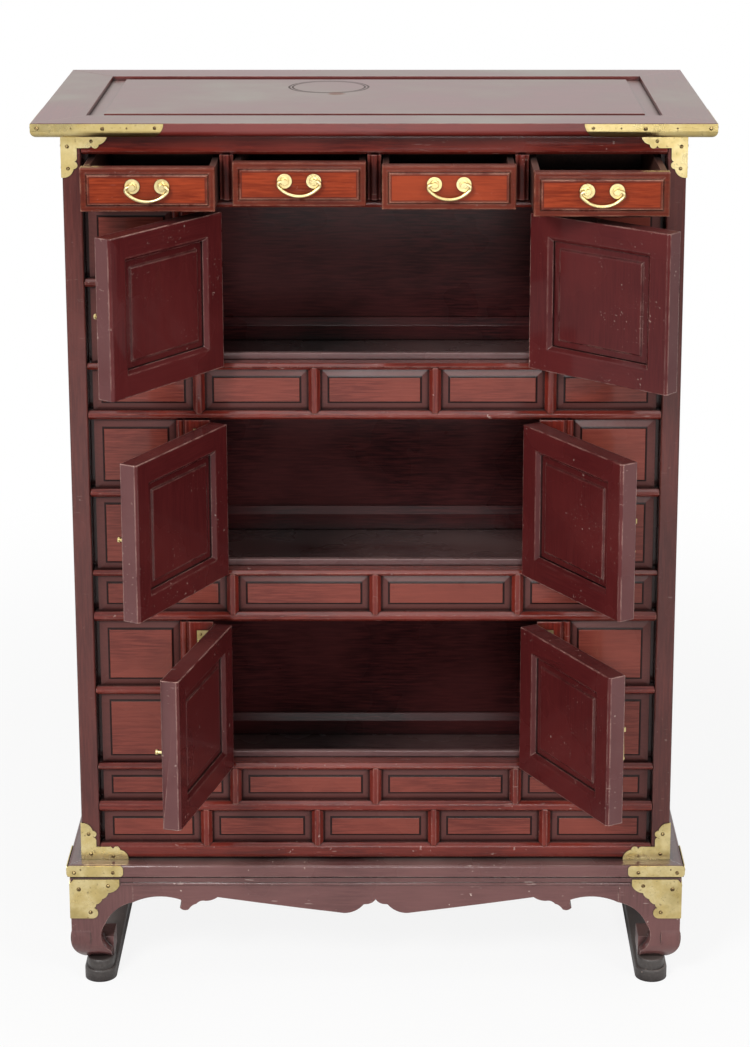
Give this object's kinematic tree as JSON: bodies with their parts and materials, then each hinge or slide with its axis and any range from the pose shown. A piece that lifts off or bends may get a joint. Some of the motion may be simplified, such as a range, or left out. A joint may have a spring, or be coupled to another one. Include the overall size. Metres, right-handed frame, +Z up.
{
  "type": "chest",
  "caption": "Tall East Asian lacquered chest on a scalloped stand: a row of small drawers with bail pulls over tiers of paired hinged doors, with brass corner mounts.",
  "frame": {"origin": "on the floor under the middle of the case", "axes": "+Z up, front of the chest faces -Y, +X to the viewer's right"},
  "size_m": [0.882, 0.6599, 1.21],
  "materials": {
    "post_lacquer": "dark plum brown lacquer, high gloss, worn arrises",
    "rail_lacquer": "red brown lacquer, high gloss",
    "panel_lacquer": "red brown lacquer over straight grain, gloss",
    "door_lacquer": "deep oxblood lacquer, high gloss, nicked edges",
    "drawer_lacquer": "orange red lacquer, high gloss",
    "top_lacquer": "dark red brown lacquer, satin gloss with a ring stain",
    "inside_stain": "dark stained, satin",
    "bare_wood": "stained drawer boards, satin",
    "brass": "pale yellow satin brass"
  },
  "bodies": {
    "case": {"back_frame": "inside_stain", "back_panels": "inside_stain", "base_moulding": "post_lacquer", "case_brass": "brass", "case_hinges": "brass", "corner_posts": "brass", "door_stops": "door_lacquer", "drawer_dividers": "rail_lacquer", "foot_runners": "post_lacquer", "front_apron": "post_lacquer", "front_panels": "panel_lacquer", "front_rails": "rail_lacquer", "front_uprights": "rail_lacquer", "hinge_pins": "brass", "legs_front": "post_lacquer", "legs_rear": "post_lacquer", "shelves_and_guides": "inside_stain", "side_and_rear_aprons": "post_lacquer", "side_frames": "post_lacquer", "side_panels": "panel_lacquer", "stand_brass": "brass", "top_frame": "top_lacquer", "top_panel": "top_lacquer"},
    "drawer_1": {"drawer_1_front": "drawer_lacquer", "drawer_1_box": "bare_wood", "drawer_1_posts": "brass"},
    "drawer_1_bail": {"drawer_1_bail": "brass"},
    "drawer_2": {"drawer_2_front": "drawer_lacquer", "drawer_2_box": "bare_wood", "drawer_2_posts": "brass"},
    "drawer_2_bail": {"drawer_2_bail": "brass"},
    "drawer_3": {"drawer_3_front": "drawer_lacquer", "drawer_3_box": "bare_wood", "drawer_3_posts": "brass"},
    "drawer_3_bail": {"drawer_3_bail": "brass"},
    "drawer_4": {"drawer_4_front": "drawer_lacquer", "drawer_4_box": "bare_wood", "drawer_4_posts": "brass"},
    "drawer_4_bail": {"drawer_4_bail": "brass"},
    "door_upper_left": {"door_upper_left_frame": "door_lacquer", "door_upper_left_panel": "door_lacquer", "door_upper_left_brass": "brass"},
    "door_upper_right": {"door_upper_right_frame": "door_lacquer", "door_upper_right_panel": "door_lacquer", "door_upper_right_brass": "brass"},
    "door_upper_right_handle": {"door_upper_right_handle": "brass"},
    "door_middle_left": {"door_middle_left_frame": "door_lacquer", "door_middle_left_panel": "door_lacquer", "door_middle_left_brass": "brass"},
    "door_middle_right": {"door_middle_right_frame": "door_lacquer", "door_middle_right_panel": "door_lacquer", "door_middle_right_brass": "brass"},
    "door_middle_right_handle": {"door_middle_right_handle": "brass"},
    "door_lower_left": {"door_lower_left_frame": "door_lacquer", "door_lower_left_panel": "door_lacquer", "door_lower_left_brass": "brass"},
    "door_lower_right": {"door_lower_right_frame": "door_lacquer", "door_lower_right_panel": "door_lacquer", "door_lower_right_brass": "brass"},
    "door_lower_right_handle": {"door_lower_right_handle": "brass"}
  },
  "joints": [
    {"name": "drawer_1_slide", "type": "slide", "parent": "case", "child": "drawer_1", "axis": [0, -1, 0], "range_m": [-0.083, 0.117]},
    {"name": "drawer_1_bail_swing", "type": "hinge", "parent": "drawer_1", "child": "drawer_1_bail", "pos_m": [-0.2875, -0.3005, 1.1381], "axis": [-1, 0, 0], "range_deg": [0, 95]},
    {"name": "drawer_2_slide", "type": "slide", "parent": "case", "child": "drawer_2", "axis": [0, -1, 0], "range_m": [-0.046, 0.154]},
    {"name": "drawer_2_bail_swing", "type": "hinge", "parent": "drawer_2", "child": "drawer_2_bail", "pos_m": [-0.096, -0.2635, 1.1381], "axis": [-1, 0, 0], "range_deg": [0, 95]},
    {"name": "drawer_3_slide", "type": "slide", "parent": "case", "child": "drawer_3", "axis": [0, -1, 0], "range_m": [-0.068, 0.132]},
    {"name": "drawer_3_bail_swing", "type": "hinge", "parent": "drawer_3", "child": "drawer_3_bail", "pos_m": [0.096, -0.2855, 1.1381], "axis": [-1, 0, 0], "range_deg": [0, 95]},
    {"name": "drawer_4_slide", "type": "slide", "parent": "case", "child": "drawer_4", "axis": [0, -1, 0], "range_m": [-0.114, 0.086]},
    {"name": "drawer_4_bail_swing", "type": "hinge", "parent": "drawer_4", "child": "drawer_4_bail", "pos_m": [0.2875, -0.3315, 1.1381], "axis": [-1, 0, 0], "range_deg": [0, 95]},
    {"name": "door_upper_left_hinge", "type": "hinge", "parent": "case", "child": "door_upper_left", "pos_m": [-0.219, -0.2132, 0.989], "axis": [0, 0, -1], "range_deg": [-126, 34]},
    {"name": "door_upper_right_hinge", "type": "hinge", "parent": "case", "child": "door_upper_right", "pos_m": [0.219, -0.2132, 0.989], "axis": [0, 0, 1], "range_deg": [-140, 20]},
    {"name": "door_upper_right_handle_swing", "type": "hinge", "parent": "door_upper_right", "child": "door_upper_right_handle", "pos_m": [0.37618, -0.34013, 1.011], "axis": [0.766, -0.6428, 0], "range_deg": [0, 75]},
    {"name": "door_middle_left_hinge", "type": "hinge", "parent": "case", "child": "door_middle_left", "pos_m": [-0.219, -0.2132, 0.7015], "axis": [0, 0, -1], "range_deg": [-118, 42]},
    {"name": "door_middle_right_hinge", "type": "hinge", "parent": "case", "child": "door_middle_right", "pos_m": [0.219, -0.2132, 0.7015], "axis": [0, 0, 1], "range_deg": [-122, 38]},
    {"name": "door_middle_right_handle_swing", "type": "hinge", "parent": "door_middle_right", "child": "door_middle_right_handle", "pos_m": [0.32927, -0.38249, 0.7235], "axis": [0.5299, -0.848, 0], "range_deg": [0, 75]},
    {"name": "door_lower_left_hinge", "type": "hinge", "parent": "case", "child": "door_lower_left", "pos_m": [-0.219, -0.2132, 0.421], "axis": [0, 0, -1], "range_deg": [-105, 55]},
    {"name": "door_lower_right_hinge", "type": "hinge", "parent": "case", "child": "door_lower_right", "pos_m": [0.219, -0.2132, 0.421], "axis": [0, 0, 1], "range_deg": [-119, 41]},
    {"name": "door_lower_right_handle_swing", "type": "hinge", "parent": "door_lower_right", "child": "door_lower_right_handle", "pos_m": [0.32026, -0.38803, 0.443], "axis": [0.4848, -0.8746, 0], "range_deg": [0, 75]}
  ]
}
